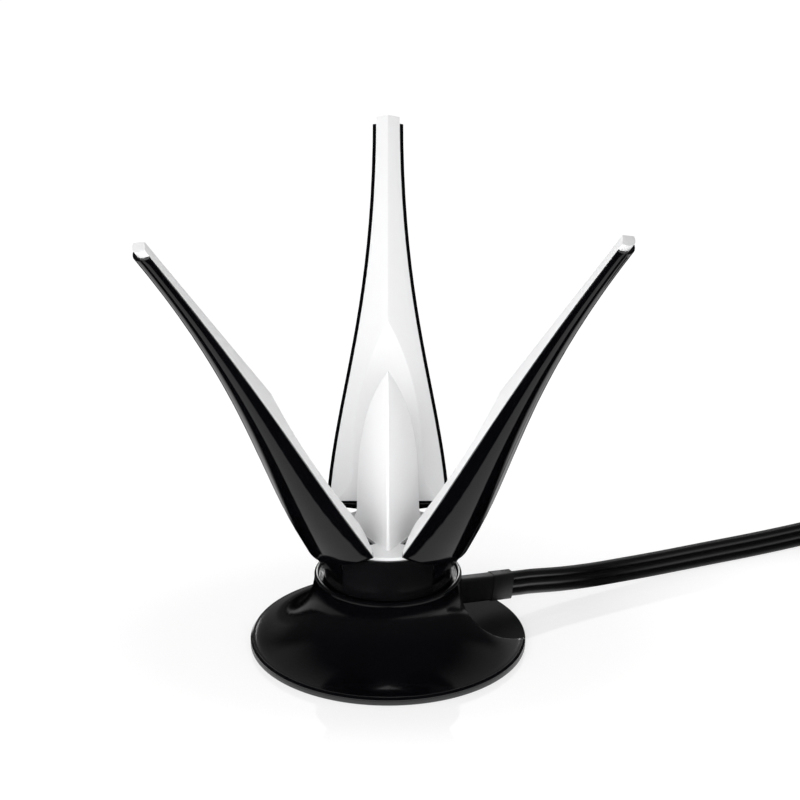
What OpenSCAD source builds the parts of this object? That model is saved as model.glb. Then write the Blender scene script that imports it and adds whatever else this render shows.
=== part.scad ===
// Desktop three-blade antenna: a flared round base, a hub with three hinged
// tulip blades round a pointed spire, and a ribbon of three coaxial cables.
// Millimetres, +Z up, origin on the table under the centre of the base.
// A blade is drawn closed, with X pointing out of the hub, and then tilted
// about its hinge and turned to its own side of the hub.

/* [Base] */
// Radius of the base at its rim
base_radius = 42.5; // [38:0.5:50]
// Height of the collar's lip above the table
collar_top = 24.2; // [21:0.1:28]
// Thickness of the collar's wall
collar_wall = 1.3; // [0.9:0.1:2]
// Step of the bead round the collar's lip out from the collar's wall
lip_proud = 0.1; // [0.05:0.01:0.3]
// Thickness of the flared cover's wall
cover_wall = 2.2; // [1.4:0.1:3]
// Height of the flare's lower end, where it turns into the rim
rim_top = 2.7; // [2.4:0.1:3.6]
// Bevel of the cover's rim
rim_round = 0.7; // [0.3:0.1:0.8]
// Height of the base plate's top face, which is the floor of the cable bay
plate_top = 1.9; // [1.6:0.1:2]
// Gap between the base plate and the table
plate_lift = 0.3; // [0.2:0.05:0.5]
// Radius of the rubber pad under the base
pad_radius = 38; // [32:0.5:41]
// Thickness of the rubber pad
pad_thickness = 0.9; // [0.6:0.05:1.2]
// Radius of the circle that the base screws and their bosses stand on
screw_circle = 27; // [25:0.25:30]
// Radius of a screw boss
boss_radius = 3; // [2.4:0.1:4]
// Radius of a base screw's shank
screw_radius = 1.1; // [0.8:0.05:1.5]
// Gap between the steel weight's edge and the flare above it
weight_gap = 1.4; // [0.5:0.1:6]
// Radius of the hole in the steel weight
weight_bore = 10; // [8:0.5:14]
// Thickness of the steel weight
weight_thickness = 3.2; // [2:0.1:3.8]

/* [Cable bay] */
// Side of the base that the cable leaves on, in degrees from +X
bay_azimuth = 30; // [24:0.5:36]
// Distance of the bay's centre from the axis
bay_offset = 32.3; // [29:0.1:36]
// Radius of the bay
bay_radius = 23.5; // [20:0.1:26]
// Step of the neck that the bay leaves standing, out from the collar
neck_step = 0.1; // [0.05:0.05:0.4]
// Thickness of the walls behind the bay
bay_wall = 1.6; // [1.2:0.1:2]

/* [Hub] */
// Gap between the hub and the collar
hub_gap = 1.7; // [1:0.1:3]
// Room between the cable boot and the deck over it
deck_room = 0.2; // [0.1:0.05:1]
// Thickness of the deck under the hub
deck_thickness = 2.2; // [1.6:0.1:3]
// Room round the leads in their passage through the deck
passage_room = 0.1; // [0.05:0.05:0.6]
// Rise of the hub's top above the hinges
hub_rise = 3.7; // [3:0.1:4.2]
// Rounding of the hub's upper edge
hub_round = 0.8; // [0.4:0.1:1.2]
// Bevel of the hub's edge where a hinge slot runs out
slot_bevel = 1.2; // [0.6:0.1:1.6]
// Thickness of the ceiling over the lead passage, below the hinge slots
ceiling_thickness = 3; // [2:0.1:4]
// Radius of a hub screw's shank
hub_screw_radius = 1.2; // [0.9:0.05:1.6]
// Radius of a lead hole in the hub's ceiling
lead_hole_radius = 1.6; // [1.5:0.05:2]

/* [Spire] */
// Height of the spire's point above the table
spire_top = 90.4; // [75:0.2:105]
// Distance from the axis to a ridge of the spire at its foot
spire_ridge = 11.4; // [10:0.1:13]
// Fullness of the spire's arched outline
spire_fullness = 3.3; // [2.8:0.1:3.8]
// Thickness of the white cap that the spire stands on
cap_thickness = 1; // [0.8:0.1:1.6]
// Step of the cap in from the hub's rounded edge
cap_step = 0.5; // [0.2:0.1:1.5]
// Height of the concave foot of the spire
foot_height = 7.5; // [5:0.25:9]
// Spread of the spire's faces at the bottom of its concave foot
foot_spread = 1.2; // [0.6:0.05:1.3]
// Radius of the screw that holds the cap and spire
cap_screw_radius = 1.25; // [1:0.05:1.8]

/* [Blades] */
// Length of a blade from its lower edge to its tip
blade_length = 121.6; // [105:0.2:140]
// Radius of the closed bud at the blades' tips
tip_radius = 5.7; // [5:0.1:7]
// Radius of the closed bud at the blades' lower edge
foot_radius = 22.2; // [20.6:0.1:24]
// Length of the slim upper part of the outline's curve
slim_reach = 64; // [54:0.5:74]
// Length of the full lower part of the outline's curve
full_reach = 35; // [29:0.5:41]
// Draw of the lower part in from the radius of its own edge
full_draw = 3; // [1.5:0.1:4.5]
// Wall of the black outer shell
shell_wall = 1.2; // [0.9:0.05:1.6]
// Length of white core that stands out of the shell at the tip
core_proud = 2.2; // [1:0.1:5]
// Rise of the shell's arm into the core, above the blade's lower edge
arm_rise = 1.6; // [1.2:0.1:2.4]
// Gap between neighbouring blades when the bud is closed
blade_gap = 0.5; // [0.3:0.05:1.2]
// Room between the closed blades' recess and the spire's ridges
recess_room = 1.7; // [1.2:0.1:2.2]
// Height over which the recess's faces draw back at the blade's foot
recess_foot = 11; // [8:0.25:13]
// Distance that the recess's faces draw back at the blade's foot
recess_spread = 4.9; // [3:0.1:6]
// Rise of the recess's point above the spire's
recess_rise = 5; // [3:0.2:7]
// Fullness of the recess's arched outline
recess_fullness = 3; // [2.7:0.1:3.4]
// Lean of the back blade out from upright
back_tilt = 34.8; // [0:0.1:40]
// Lean of the left blade out from upright
left_tilt = 35.9; // [0:0.1:40]
// Lean of the right blade out from upright
right_tilt = 34.5; // [0:0.1:40]

/* [Hinges] */
// Height of the hinge pins above the table
hinge_height = 32.5; // [31:0.1:36]
// Distance of the hinge pins in from the hub's edge
hinge_inset = 5; // [4.4:0.1:6]
// Radius of a blade's hinge knuckle
knuckle_radius = 6.8; // [6:0.1:7.4]
// Width of a blade's hinge knuckle
knuckle_width = 9.2; // [8:0.1:11]
// Rise of a blade's lower edge above its hinge
foot_rise = 7.1; // [6.4:0.1:8.4]
// Radius of a hinge pin
pin_radius = 1.5; // [1:0.05:2]
// Room round the pin in the knuckle
pin_room = 0.05; // [0.02:0.01:0.09]
// Half the length of a hinge pin
pin_reach = 11; // [9.5:0.1:12]
// Thickness of a friction washer
washer_thickness = 0.5; // [0.3:0.05:0.9]
// Radius of a friction washer
washer_radius = 4.4; // [3:0.1:5.5]
// Room between a washer and the knuckle
hinge_room = 0.1; // [0.06:0.01:0.4]
// Room between a knuckle and the bottom and end of its slot
slot_room = 0.6; // [0.4:0.05:1.2]
// Distance of the hinge slots out from the spire's faces
slot_gap = 1.4; // [1.2:0.05:2]

/* [Antenna boards] */
// Distance of an antenna board's upper end from the blade's tip
board_margin = 38.4; // [30:0.2:60]
// Width of an antenna board
board_width = 8; // [5:0.2:8.8]
// Thickness of an antenna board
board_thickness = 1; // [0.6:0.1:1.4]
// Height of a board's lower end above the blade's lower edge
board_start = 6; // [4:0.2:10]
// Distance of a board's lower end from the bud's axis
board_seat = 9.2; // [8.4:0.1:10]
// Lean of a board towards the axis
board_lean = 4.2; // [3.4:0.1:4.8]

/* [Cable] */
// Diameter of one coaxial cable of the ribbon
coax_diameter = 2.8; // [2.4:0.05:2.85]
// Height of the ribbon's middle where it leaves the boot
boot_height = 8.9; // [7.8:0.05:10]
// Distance from the axis to the boot's outer end
boot_end = 44.2; // [40:0.1:48]
// Slope of the boot, down from the neck to its outer end
boot_slope = 7.5; // [0:0.5:9]
// Width of the boot's end block
boot_width = 4.4; // [4:0.1:6]
// Rubber above and below the ribbon in the boot's end block
boot_cover = 0.3; // [0.25:0.05:0.8]
// Length of the boot's end block
boot_block = 7.4; // [4:0.2:12]
// Step of the boot's slim stem inside its end block, on each side
boot_step = 0.2; // [0.1:0.05:0.25]
// Rounding of the boot's edges
boot_round = 1; // [0.5:0.1:1.4]
// Thickness of the boot's flange inside the neck
boot_flange = 1.8; // [1.2:0.1:2.4]
// Reach of the boot's flange past its stem, on each side
flange_reach = 1.4; // [0.8:0.1:2]
// Radius of the coil's outermost turn, at the ribbon's middle
coil_radius = 47; // [45:0.5:55]
// Gap between one turn of the coil and the next
coil_turn_gap = 0.5; // [0.45:0.05:2]
// Thickness of the ties round the coil
tie_thickness = 0.7; // [0.4:0.05:1.2]
// Width of the ties round the coil
tie_width = 6; // [3:0.5:9]

/* [Connectors] */
// Width of a coupling nut across its flats
nut_flats = 8; // [7.6:0.05:8.5]
// Length of a coupling nut
nut_length = 8.5; // [8:0.1:10]
// Radius of a coupling nut's threaded bore
thread_radius = 2.9; // [2.7:0.02:3.1]
// Length of a coupling nut's threaded bore
thread_length = 4.6; // [4:0.1:5]
// Radius of the connector's neck that the nut turns on
nut_neck_radius = 2.2; // [1.9:0.05:2.4]
// Room between the neck and the nut
nut_room = 0.05; // [0.02:0.01:0.09]
// Length of the black sleeve on the end of each cable
sleeve_length = 10; // [6:0.25:14]
// Radius of the black sleeve
sleeve_radius = 2.4; // [1.9:0.05:2.8]
// Length of the crimped ferrule behind the nut
ferrule_length = 5; // [3:0.1:7]
// Radius of the crimped ferrule
ferrule_radius = 2.9; // [2.6:0.05:3.4]

/* [Hidden] */
$fn = 64;
// A length past any size of the object, and the overlap that a cut runs past a face
far = 90;
past = 0.5;

// Sides of the hub that the blades stand on, and each blade's lean
back_azimuth = 90;
left_azimuth = 210;
right_azimuth = 330;
blade_azimuths = [back_azimuth, left_azimuth, right_azimuth];
blade_sector = 60;

// Hub, worked out from the spire's foot outwards
slot_start = spire_ridge / 2 + slot_gap;
hinge_radius = slot_start + slot_room + knuckle_radius;
hub_radius = hinge_radius + hinge_inset;
hub_top = hinge_height + hub_rise;
cap_top = hub_top + cap_thickness;
cap_radius = hub_radius - hub_round - cap_step;
slot_floor = hinge_height - knuckle_radius - slot_room;
slot_width = knuckle_width + 2 * (washer_thickness + hinge_room);
ceiling = slot_floor - ceiling_thickness;
lead_circle = slot_start + lead_hole_radius + passage_room;
passage_radius = lead_circle + lead_hole_radius + passage_room;

// Boot and the deck over it
ribbon_height = 3 * coax_diameter;
boot_rise = ribbon_height + 2 * boot_cover;
stem_width = boot_width - 2 * boot_step;
stem_rise = boot_rise - 2 * boot_step;

// Base, round the hub
collar_inner = hub_radius + hub_gap;
collar_radius = collar_inner + collar_wall;
rim_reach = 1.5;
flare_radius = base_radius + rim_reach - collar_radius;
flare_centre = rim_top + flare_radius;
flare_axis = collar_radius + flare_radius;
rim_edge = flare_centre - sqrt(pow(flare_radius, 2) - pow(rim_reach, 2));
cover_edge = 0.15;
lip_bead = collar_wall / 2 + lip_proud;
lip_middle = collar_top - lip_bead;
neck_radius = collar_radius + neck_step;
neck_inner = neck_radius - bay_wall;
boot_start = neck_inner - boot_flange;
deck_bottom = boot_level(boot_start) + stem_rise / 2 / cos(boot_slope) + deck_room;
deck_top = deck_bottom + deck_thickness;
boss_depth = 5;
screw_head_thickness = 0.55;
screw_head_step = 1.1;
pad_hole_room = 0.5;
pad_hole_radius = screw_radius + screw_head_step + pad_hole_room;
weight_room = 0.4;
weight_top = plate_top + weight_thickness;
weight_radius = flare_axis - weight_gap
    - sqrt(pow(flare_radius + cover_wall, 2) - pow(flare_centre - weight_top, 2));

// Screws of the hub and the cap
screw_end_room = 0.5;
hub_screw_circle = (passage_radius + hub_radius) / 2;
hub_screw_floor = 2.7;
hub_screw_depth = slot_floor - hub_screw_floor - deck_top;
hub_screw_head = 1.5;
cap_screw_reach = 8;
cap_screw_head = 1.6;

// Blades
blade_foot = hinge_height + foot_rise;
blade_top = blade_foot + blade_length;
board_length = blade_length - board_start - board_margin;
blade_steps = 20;
arch_steps = 14;
arm_inset = 0.9;
foot_round = 1;

// Cable
lead_bend = 4;
tie_room = 0.15;
tie_lift = 0.05;
coil_lift = tie_lift + tie_thickness + tie_room + ribbon_height / 2;
coil_pitch = coax_diameter + coil_turn_gap;
coil_centre = [194, 43];
coil_start_angle = 114;
coil_turns = 3;
coil_rings = 24;
coil_hook = 8;
coil_hook_turn = 0.25;
coil_end_run = 9;
// Ties sit on the straight steps between two rings, this many rings from the coil's start
tie_places = [6.5, 18.5];
// Route of the ribbon between its straight ends, chosen by hand; heights are of its lower edge
ribbon_route = [
    [55, 30.5, 2.35], [65, 35, 1.55], [75, 39.8, 1.05], [85, 44.6, 0.65], [95, 49.4, 0.4],
    [106, 54.6, 0.2], [118, 60, 0.1], [130, 65.4, 0.2], [142, 70.9, 0.5]
];
// Route of the three cables past the ribbon's end, over the coil and down, chosen by hand: step
// along, step across, each cable's share of the climb, and their share of the way down
tail_route = [
    [6, 0.4, [0.05, 0.1, 0.3], 0], [11, 1.2, [0.25, 0.4, 0.75], 0], [16, 2.7, [0.6, 0.75, 1], 0],
    [22, 4.2, [0.95, 1, 1], 0], [29, 5.2, [1, 1, 1], 0], [36, 6.4, [1, 1, 1], 0],
    [44, 8.6, [1, 1, 1], 0.45], [51, 10.2, [1, 1, 1], 0.9]
];
tail_run = 58;
tail_room = 0.3;
tail_cross = coil_lift + (ribbon_height + coax_diameter) / 2 + tail_room;
connector_spacing = 10.5;
connector_lift = 0.08;
connector_height = nut_flats / 2 / cos(30) + connector_lift;

// Connector sizes that follow from the ones above
nut_clear = 4.5;
nut_start = sleeve_length + ferrule_length + nut_clear;
nut_wall = 2;
nut_relief = thread_radius + 0.5;
nut_mouth = nut_start + nut_length;
flange_room = 0.2;
flange_start = nut_start + nut_wall + flange_room;
flange_end = nut_mouth - thread_length - 3 * flange_room;
flange_radius = thread_radius - flange_room;
neck_wall = 0.6;
insert_radius = nut_neck_radius - neck_wall;
shoulder = 1.5;
shoulder_radius = ferrule_radius + 0.4;
sleeve_lip = 0.2;
insert_length = 4;
contact_radius = 0.5;

gloss_black = [0.02, 0.02, 0.024];
satin_black = [0.06, 0.06, 0.065];
rubber_black = [0.09, 0.09, 0.09];
soft_white = [0.93, 0.93, 0.92];
steel = [0.66, 0.67, 0.69];
cast_grey = [0.36, 0.36, 0.38];
gold = [0.83, 0.65, 0.3];
board_green = [0.1, 0.33, 0.2];
ptfe_white = [0.95, 0.95, 0.93];

// Point at t along the curve of the blade's outline, tip first, as radius and height
function outline(t) =
    let (
        tip = [tip_radius, blade_top],
        slim = [tip_radius, blade_top - slim_reach],
        full = [foot_radius - full_draw, blade_foot + full_reach],
        foot = [foot_radius, blade_foot]
    )
    pow(1 - t, 3) * tip + 3 * t * pow(1 - t, 2) * slim
        + 3 * t * t * (1 - t) * full + t * t * t * foot;

// Radius of the outline at a height, between the two curve points round it
function outline_radius(z, i = 0) =
    let (a = outline(i / blade_steps), b = outline((i + 1) / blade_steps))
    i >= blade_steps - 1 || b[1] <= z
        ? a[0] + (b[0] - a[0]) * (a[1] - z) / (a[1] - b[1])
        : outline_radius(z, i + 1);

// Outline points from the height top down to the foot, drawn in by inset
function outline_below(top, inset) = [
    [outline_radius(top) - inset, top],
    for (i = [0 : blade_steps])
        let (p = outline(i / blade_steps))
        if (p[1] < top - past) [p[0] - inset, p[1]]
];

// Half width of a pointed arch at a height, full at the foot and none at the point
function arch(z, foot, point, half, fullness) =
    half * (1 - pow((z - foot) / (point - foot), fullness));

// Heights for an arch's outline, closer together towards its point
function arch_heights(foot, point) = [
    for (i = [0 : arch_steps]) foot + (point - foot) * sin(90 * i / arch_steps)
];

// Points on the ribbon's section, as distance across and height, up one side and down the other
function ribbon_section() =
    let (
        r = coax_diameter / 2,
        side = [for (lobe = [-1 : 1]) for (a = [-45, 0, 45]) [r * cos(a), lobe * 2 * r + r * sin(a)]]
    )
    concat(
        [[0, -3 * r]], side,
        [[0, 3 * r]], [for (i = [len(side) - 1 : -1 : 0]) [-side[i][0], side[i][1]]]
    );

function circle_section(radius, sides) = [
    for (i = [0 : sides - 1]) radius * [cos(360 * i / sides - 90), sin(360 * i / sides - 90)]
];

function unit(v) = v / norm(v);

// Height of the boot's middle line at a distance from the base's axis
function boot_level(reach) = boot_height + (boot_end - reach) * tan(boot_slope);

// Place on the boot's middle line, from its outer end, of a distance from the base's axis
function along_boot(reach) = (reach - boot_end) / cos(boot_slope);

// Direction of a path at its point i
function heading(path, i) =
    unit(path[min(i + 1, len(path) - 1)] - path[max(i - 1, 0)]);

// One ring of a swept section, square to the path, with the section's height upwards
function ring(path, i, section) =
    let (t = heading(path, i), across = unit(cross(t, [0, 0, 1])), up = cross(across, t))
    [for (p = section) path[i] + p[0] * across + p[1] * up];

// Smooth path through route points, with steps points from one to the next
function smooth(route, steps) = [
    for (i = [0 : len(route) - 2])
        let (
            a = route[max(i - 1, 0)], b = route[i],
            c = route[i + 1], d = route[min(i + 2, len(route) - 1)]
        )
        for (k = [0 : steps - 1])
            let (t = k / steps)
            b + (c - a) * t / 2 + (2 * a - 5 * b + 4 * c - d) * t * t / 2
                + (3 * b - a - 3 * c + d) * t * t * t / 2,
    route[len(route) - 1]
];

function path_length(path, i = 1) =
    i >= len(path) ? 0 : norm(path[i] - path[i - 1]) + path_length(path, i + 1);

// Middle of the ribbon round the coil: steady turns inwards, with a hook into the hollow at the end
function coil_point(turn) =
    let (
        hook = max(0, (turn - coil_turns + coil_hook_turn) / coil_hook_turn),
        r = coil_radius - coil_pitch * turn - coil_hook * hook * hook,
        a = coil_start_angle - 360 * turn
    )
    [coil_centre[0] + r * cos(a), coil_centre[1] + r * sin(a), coil_lift];

coil_spiral = [for (i = [0 : coil_rings * coil_turns]) coil_point(i / coil_rings)];
coil_lead_in = [sin(coil_start_angle), -cos(coil_start_angle), 0];
coil_lead_out = unit(coil_spiral[len(coil_spiral) - 1] - coil_spiral[len(coil_spiral) - 2]);
coil_path = concat(
    [coil_spiral[0] - coil_end_run * coil_lead_in],
    coil_spiral,
    [coil_spiral[len(coil_spiral) - 1] + coil_end_run * coil_lead_out]
);
coil_end = coil_path[len(coil_path) - 1];

// Ribbon from the boot to the coil: straight out of the boot, along the route, straight into the coil
boot_heading = [
    cos(bay_azimuth) * cos(boot_slope), sin(bay_azimuth) * cos(boot_slope), -sin(boot_slope)
];
boot_tip = [boot_end * cos(bay_azimuth), boot_end * sin(bay_azimuth), boot_height];
ribbon_path = smooth(concat(
    [for (k = [0, 0.5, 1]) boot_tip + k * ribbon_height * boot_heading],
    [for (p = ribbon_route) p + [0, 0, ribbon_height / 2]],
    [for (k = [2, 1, 0]) coil_path[0] - k * ribbon_height * coil_lead_in]
), 3);

// Cable i from the ribbon's end to its connector, straight at both ends
coil_left = [-coil_lead_out[1], coil_lead_out[0], 0];
function tail_start(i) = coil_end + [0, 0, (i - 1) * coax_diameter];
function tail_level(i, climb, descent) =
    [0, 0, climb * (tail_cross - tail_start(i)[2]) + descent * (connector_height - tail_cross)];
function tail_end(i) =
    tail_start(i) + tail_run * coil_lead_out + (i - 1) * connector_spacing * coil_left
        + tail_level(i, 1, 1);
function tail_path(i) = smooth(concat(
    [for (k = [0, 0.5, 1]) tail_start(i) + k * coax_diameter * coil_lead_out],
    [for (p = tail_route)
        tail_start(i) + p[0] * coil_lead_out + (i - 1) * p[1] * coil_left
            + tail_level(i, p[2][i], p[3])],
    [for (k = [1, 0.5, 0]) tail_end(i) - k * coax_diameter * coil_lead_out]
), 2);

// Least gap between one turn of the coil and the next, measured on points of the path
coil_gap = min([
    for (i = [0 : len(coil_path) - 1])
        for (k = [i + coil_rings / 2 : 1 : len(coil_path) - 1])
            norm(coil_path[i] - coil_path[k])
]) - coax_diameter;
echo(coil_least_gap = coil_gap);
echo(free_length = path_length(ribbon_path), coil_length = path_length(coil_path));
echo(tail_lengths = [for (i = [0 : 2]) path_length(tail_path(i))]);
echo(connector_starts = [for (i = [0 : 2]) tail_end(i)], connector_way = coil_lead_out);

// Solid swept along a path, with its ends closed across the section from side to side
module swept(path, section) {
    n = len(section);
    rings = len(path);
    points = [for (i = [0 : rings - 1]) each ring(path, i, section)];
    skin = [
        for (i = [0 : rings - 2]) for (k = [0 : n - 1])
            let (a = i * n + k, b = i * n + (k + 1) % n)
            each [[a, b, b + n], [a, b + n, a + n]]
    ];
    half = n / 2;
    start = [for (k = [0 : half - 1]) each k == 0 ? [[0, n - 1, 1]]
        : k == half - 1 ? [[k, n - k, half]]
        : [[k, n - k, n - k - 1], [k, n - k - 1, k + 1]]];
    last = (rings - 1) * n;
    end = [for (f = start) [f[0] + last, f[2] + last, f[1] + last]];
    polyhedron(points, concat(skin, start, end), convexity = 10);
}

// Bar along X with its four long edges rounded, its middle on the X axis
module rounded_bar(start, end, width, height, radius) {
    translate([start, -width / 2 + radius, -height / 2])
        cube([end - start, width - 2 * radius, height]);
    translate([start, -width / 2, -height / 2 + radius])
        cube([end - start, width, height - 2 * radius]);
    for (y = [-1, 1])
        for (z = [-1, 1])
            translate([start, y * (width / 2 - radius), z * (height / 2 - radius)])
                rotate([0, 90, 0])
                    cylinder(r = radius, h = end - start);
}

module ring_solid(inner, outer, bottom, top) {
    difference() {
        translate([0, 0, bottom]) cylinder(r = outer, h = top - bottom);
        translate([0, 0, bottom - past]) cylinder(r = inner, h = top - bottom + 2 * past);
    }
}

module rounded_ring(radius, height, tube) {
    rotate_extrude() translate([radius, height]) circle(r = tube);
}

// Outside of the base cover: a disc with its rim bevelled, a torus scooping out the flare,
// and a bead round the collar's lip
module cover_outside() {
    bevel = min(rim_round, rim_edge - plate_top - cover_edge);
    difference() {
        rotate_extrude()
            polygon([
                [0, plate_top],
                [base_radius, plate_top],
                [base_radius, rim_edge - bevel],
                [base_radius - bevel, rim_edge],
                [base_radius - bevel, lip_middle],
                [0, lip_middle]
            ]);
        rounded_ring(flare_axis, flare_centre, flare_radius);
        if (lip_middle > flare_centre)
            ring_solid(collar_radius, far, flare_centre, lip_middle + past);
    }
    rounded_ring(collar_radius - collar_wall / 2, lip_middle, lip_bead);
}

// Hollow under the flare and the deck
module cover_hollow() {
    difference() {
        translate([0, 0, plate_top - past])
            cylinder(r = base_radius - cover_wall, h = deck_bottom - plate_top + past);
        rounded_ring(flare_axis, flare_centre, flare_radius + cover_wall);
    }
}

// Space of the cable bay, grown by a wall's thickness; the neck stays standing in it
module cable_bay(grow) {
    difference() {
        rotate(bay_azimuth)
            translate([bay_offset, 0, plate_top - past])
                cylinder(r = bay_radius + grow, h = far);
        translate([0, 0, plate_top - 2 * past])
            cylinder(r = neck_radius - grow, h = far + 2 * past);
    }
}

module boss_places() {
    for (a = blade_azimuths) rotate(a) translate([screw_circle, 0, 0]) children();
}

module base_cover() {
    color(gloss_black)
        difference() {
            union() {
                difference() {
                    cover_outside();
                    cover_hollow();
                }
                intersection() {
                    cover_outside();
                    cable_bay(bay_wall);
                }
                intersection() {
                    cover_outside();
                    boss_places()
                        translate([0, 0, plate_top])
                            cylinder(r = boss_radius, h = collar_top);
                }
            }
            cable_bay(0);
            translate([0, 0, deck_top])
                cylinder(r = collar_inner, h = lip_middle - deck_top);
            translate([0, 0, lip_middle])
                cylinder(r = collar_inner - lip_proud, h = far);
            translate([0, 0, deck_bottom - past])
                cylinder(r = passage_radius, h = deck_thickness + 2 * past);
            hub_screw_places()
                translate([0, 0, deck_bottom - past])
                    cylinder(r = hub_screw_radius, h = deck_thickness + 2 * past);
            boss_places()
                translate([0, 0, plate_top - past])
                    cylinder(r = screw_radius, h = boss_depth + past);
            at_boot()
                rounded_bar(along_boot(boot_start), along_boot(neck_radius + boot_round),
                    stem_width, stem_rise, boot_round);
        }
}

module base_plate() {
    color(satin_black)
        difference() {
            translate([0, 0, plate_lift])
                cylinder(r = base_radius, h = plate_top - plate_lift);
            translate([0, 0, -past])
                cylinder(r = pad_radius, h = pad_thickness + past);
            boss_places()
                cylinder(r = screw_radius, h = plate_top + past);
        }
}

module foot_pad() {
    color(rubber_black)
        difference() {
            cylinder(r = pad_radius, h = pad_thickness);
            boss_places()
                translate([0, 0, -past])
                    cylinder(r = pad_hole_radius, h = pad_thickness + 2 * past);
        }
}

module plate_screws() {
    color(steel)
        boss_places() {
            translate([0, 0, pad_thickness - screw_head_thickness])
                cylinder(r = screw_radius + screw_head_step, h = screw_head_thickness);
            translate([0, 0, pad_thickness])
                cylinder(r = screw_radius, h = plate_top + boss_depth - screw_end_room - pad_thickness);
        }
}

// Steel weight on the base plate, cut back from the bosses, the cable bay and the leads
module ballast_weight() {
    color(cast_grey)
        difference() {
            ring_solid(weight_bore, weight_radius, plate_top, weight_top);
            boss_places()
                cylinder(r = boss_radius + weight_room, h = far);
            cable_bay(bay_wall + weight_room);
            rotate(bay_azimuth)
                translate([0, -ribbon_height / 2, 0])
                    cube([far, ribbon_height, far]);
        }
}

module hub_screw_places() {
    for (a = blade_azimuths) rotate(a) translate([hub_screw_circle, 0, 0]) children();
}

// Slots for the blades' knuckles and arms
module knuckle_slots(bottom) {
    for (a = blade_azimuths)
        rotate(a)
            translate([slot_start, -slot_width / 2, bottom])
                cube([far, slot_width, far]);
}

// Line of a hinge pin, as a cylinder from one side of the blade to the other
module on_hinge(radius, start, end) {
    translate([hinge_radius, start, hinge_height])
        rotate([-90, 0, 0])
            cylinder(r = radius, h = end - start);
}

module hub_drum() {
    color(satin_black)
        difference() {
            union() {
                translate([0, 0, deck_top])
                    cylinder(r = hub_radius, h = hub_top - hub_round - deck_top);
                translate([0, 0, deck_top])
                    cylinder(r = hub_radius - hub_round, h = hub_top - deck_top);
                rounded_ring(hub_radius - hub_round, hub_top - hub_round, hub_round);
            }
            knuckle_slots(slot_floor);
            intersection() {
                knuckle_slots(deck_top);
                rotate_extrude()
                    polygon([
                        [hub_radius - slot_bevel - past, slot_floor + past],
                        [hub_radius + past, slot_floor - slot_bevel - past],
                        [hub_radius + past, slot_floor + past]
                    ]);
            }
            translate([0, 0, deck_top - past])
                cylinder(r = passage_radius, h = ceiling - deck_top + past);
            for (a = blade_azimuths)
                rotate(a) {
                    on_hinge(pin_radius, -pin_reach, pin_reach);
                    translate([lead_circle, 0, ceiling - past])
                        cylinder(r = lead_hole_radius, h = ceiling_thickness + 2 * past);
                }
            hub_screw_places()
                translate([0, 0, deck_top - past])
                    cylinder(r = hub_screw_radius, h = hub_screw_depth + past);
            translate([0, 0, ceiling - past])
                cylinder(r = cap_screw_radius, h = far);
        }
}

module hub_screws() {
    color(steel)
        hub_screw_places() {
            translate([0, 0, deck_bottom - hub_screw_head])
                cylinder(r = hub_screw_radius + screw_head_step, h = hub_screw_head);
            translate([0, 0, deck_bottom])
                cylinder(r = hub_screw_radius, h = deck_thickness + hub_screw_depth - screw_end_room);
        }
}

// Spread of a concave foot of some height, at a height above the table
function spread(z, amount, height) = amount * pow(max(0, 1 - (z - cap_top) / height), 2);

// Distance from the axis to a face of the spire, with its concave foot
function spire_face(z) =
    arch(z, cap_top, spire_top, spire_ridge, spire_fullness) / 2 + spread(z, foot_spread, foot_height);

foot_steps = 6;
spire_heights = concat(
    [for (i = [0 : foot_steps - 1]) cap_top + foot_height * i / foot_steps],
    [for (z = arch_heights(cap_top, spire_top)) if (z > cap_top + foot_height) z]
);

module spire() {
    profile = concat([for (z = spire_heights) [spire_face(z), z]], [[-far, spire_top], [-far, cap_top]]);
    intersection_for (a = blade_azimuths)
        rotate(a)
            translate([0, far / 2, 0])
                rotate([90, 0, 0])
                    linear_extrude(far) polygon(profile);
}

module spire_cap() {
    color(soft_white)
        difference() {
            union() {
                translate([0, 0, hub_top])
                    cylinder(r = cap_radius, h = cap_thickness);
                intersection() {
                    spire();
                    translate([0, 0, cap_top])
                        cylinder(r = cap_radius, h = far);
                }
            }
            knuckle_slots(hub_top - past);
            translate([0, 0, hub_top - past])
                cylinder(r = cap_screw_radius, h = cap_screw_reach + past);
        }
}

module cap_screw() {
    color(steel) {
        translate([0, 0, ceiling - cap_screw_head])
            cylinder(r = cap_screw_radius + screw_head_step, h = cap_screw_head);
        translate([0, 0, ceiling])
            cylinder(r = cap_screw_radius, h = hub_top + cap_screw_reach - screw_end_room - ceiling);
    }
}

module hinge_pin(azimuth) {
    color(steel) rotate(azimuth) on_hinge(pin_radius, -pin_reach, pin_reach);
}

module friction_washers(azimuth) {
    color(rubber_black)
        rotate(azimuth)
            for (side = [-1, 1])
                translate([0, side * (slot_width - washer_thickness) / 2, 0])
                    difference() {
                        on_hinge(washer_radius, -washer_thickness / 2, washer_thickness / 2);
                        on_hinge(pin_radius, -washer_thickness, washer_thickness);
                    }
}

// Closed blade, tilted about its hinge and turned to its side of the hub
module posed(azimuth, tilt) {
    rotate(azimuth)
        translate([hinge_radius, 0, hinge_height])
            rotate([0, tilt, 0])
                translate([-hinge_radius, 0, -hinge_height])
                    children();
}

// A blade's third of the bud, short of its neighbours by half a gap
module third_of_bud() {
    apex = blade_gap / 2 / sin(blade_sector);
    linear_extrude(blade_top + past)
        polygon([
            [apex, 0],
            [far, -(far - apex) * tan(blade_sector)],
            [far, (far - apex) * tan(blade_sector)]
        ]);
}

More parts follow.
